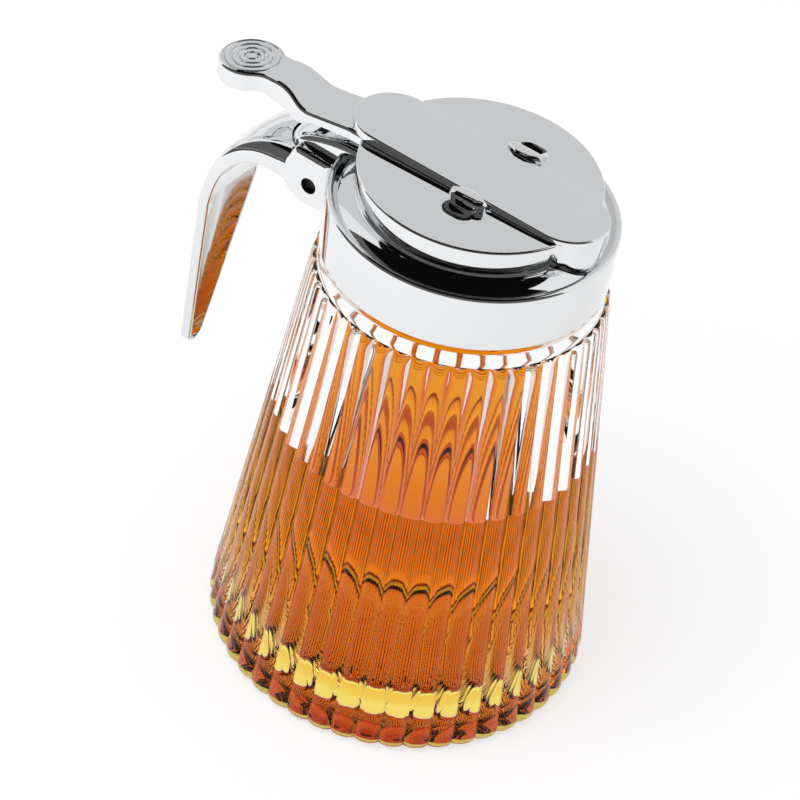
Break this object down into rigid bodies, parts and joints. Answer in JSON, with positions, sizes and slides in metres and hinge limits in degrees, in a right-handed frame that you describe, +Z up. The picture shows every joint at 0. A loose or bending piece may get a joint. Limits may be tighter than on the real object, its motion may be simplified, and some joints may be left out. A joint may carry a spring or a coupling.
{
  "type": "honey dispenser",
  "caption": "Ribbed glass honey jar with a screw-on chromed pouring lid, a thumb-lever cut-off slide and a side handle.",
  "frame": {"origin": "centre of the glass jar's base, on the surface it stands on", "axes": "+Z up along the jar's axis, +X toward the pour mouth, the handle and thumb lever toward -X"},
  "size_m": [0.1091, 0.0856, 0.1292],
  "materials": {
    "clear_glass": "clear, fire-polished",
    "honey": "clear amber liquid",
    "seal_rubber": "matt, off-white",
    "white_plastic": "moulded",
    "chromed_zinc": "polished chrome on a casting",
    "spring_steel": "drawn wire",
    "rivet_steel": "plain"
  },
  "bodies": {
    "jar": {"glass_jar": "clear_glass", "honey_fill": "honey"},
    "seal": {"neck_gasket": "seal_rubber"},
    "lid": {"lid_casting": "chromed_zinc", "thread_liner": "white_plastic", "handle": "chromed_zinc", "handle_pin": "rivet_steel", "return_spring": "spring_steel"},
    "slide": {"cutoff_slide": "chromed_zinc", "thumb_lever": "chromed_zinc", "lever_rivets": "rivet_steel"}
  },
  "joints": [
    {"name": "lid_lift", "type": "slide", "parent": "jar", "child": "seal", "axis": [0, 0, 1], "range_m": [0, 0.006]},
    {"name": "lid_turn", "type": "hinge", "parent": "seal", "child": "lid", "pos_m": [0, 0, 0.1173], "axis": [0, 0, 1], "range_deg": [0, 540]},
    {"name": "slide_open", "type": "slide", "parent": "lid", "child": "slide", "axis": [-1, 0, 0], "range_m": [0, 0.011], "stiffness_N_per_m": 250, "springref_m": -0.005, "deforming": ["return_spring"]}
  ],
  "couplings": [
    {"joint": "lid_lift", "follows": "lid_turn", "m_per_rad": 0.0006366}
  ]
}
